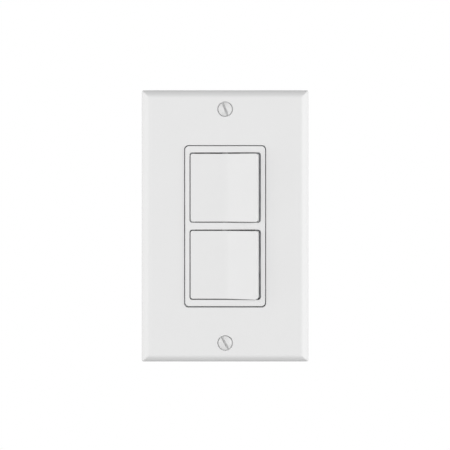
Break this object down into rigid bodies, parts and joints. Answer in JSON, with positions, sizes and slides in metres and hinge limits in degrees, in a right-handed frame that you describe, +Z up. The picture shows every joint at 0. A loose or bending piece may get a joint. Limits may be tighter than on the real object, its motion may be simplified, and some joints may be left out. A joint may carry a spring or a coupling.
{
  "type": "combination rocker switch with wall plate",
  "caption": "White decorator-style combination switch: stacked square rockers that tip left and right in one frame, on a steel strap and dark housing behind a one-gang wall plate.",
  "frame": {"origin": "midway between the axes of the box screws, on the plane of the finished wall, where the wall plate's rim rests", "axes": "+X to the right seen from the room, +Y into the wall (the rockers face -Y), +Z up, along the line of the screws"},
  "size_m": [0.0698, 0.0323, 0.1136],
  "materials": {
    "plate_plastic": "glossy moulded nylon",
    "screw_enamel": "white enamel on steel, glossy",
    "zinc_steel": "zinc-plated pressed steel",
    "zinc_screw": "bright zinc plating",
    "fibre": "pressed vulcanised fibre, matt",
    "rocker_plastic": "glossy moulded plastic",
    "housing_plastic": "dark moulded thermoset, matt",
    "green_enamel": "green-dyed zinc plating, satin",
    "brass_strip": "stamped brass, satin",
    "black_screw": "black oxide, satin",
    "brass_screw": "bright brass plating",
    "silver_contact": "silver alloy, satin",
    "spring_steel": "drawn spring wire",
    "plunger_acetal": "natural acetal, satin",
    "arm_copper": "rolled phosphor bronze, satin"
  },
  "bodies": {
    "switch_frame": {"wall_plate": "plate_plastic", "plate_screws": "screw_enamel", "mounting_strap": "zinc_steel", "mounting_screws": "zinc_screw", "screw_retainers": "fibre", "bezel": "rocker_plastic", "rear_housing": "housing_plastic", "housing_screws": "zinc_screw", "ground_screw": "green_enamel", "feed_terminal": "brass_strip", "feed_screws": "black_screw", "upper_load_terminal": "brass_strip", "lower_load_terminal": "brass_strip", "load_screws": "brass_screw", "fixed_contacts": "silver_contact"},
    "upper_rocker_assembly": {"upper_rocker": "rocker_plastic", "upper_spring": "spring_steel", "upper_plunger": "plunger_acetal"},
    "upper_arm_assembly": {"upper_contact_arm": "arm_copper", "upper_moving_contact": "silver_contact"},
    "lower_rocker_assembly": {"lower_rocker": "rocker_plastic", "lower_spring": "spring_steel", "lower_plunger": "plunger_acetal"},
    "lower_arm_assembly": {"lower_contact_arm": "arm_copper", "lower_moving_contact": "silver_contact"}
  },
  "joints": [
    {"name": "upper_rocker_tilt", "type": "hinge", "parent": "switch_frame", "child": "upper_rocker_assembly", "pos_m": [0, -0.0014, 0.01595], "axis": [0, 0, 1], "range_deg": [0, 11]},
    {"name": "upper_arm_tilt", "type": "hinge", "parent": "switch_frame", "child": "upper_arm_assembly", "pos_m": [0, 0.00748, 0.01595], "axis": [0, 0, 1], "range_deg": [-13.2, 0]},
    {"name": "lower_rocker_tilt", "type": "hinge", "parent": "switch_frame", "child": "lower_rocker_assembly", "pos_m": [0, -0.0014, -0.01595], "axis": [0, 0, 1], "range_deg": [0, 11]},
    {"name": "lower_arm_tilt", "type": "hinge", "parent": "switch_frame", "child": "lower_arm_assembly", "pos_m": [0, 0.00748, -0.01595], "axis": [0, 0, 1], "range_deg": [-13.2, 0]}
  ],
  "couplings": [
    {"joint": "upper_arm_tilt", "follows": "upper_rocker_tilt", "ratio": -1.2},
    {"joint": "lower_arm_tilt", "follows": "lower_rocker_tilt", "ratio": -1.2}
  ]
}
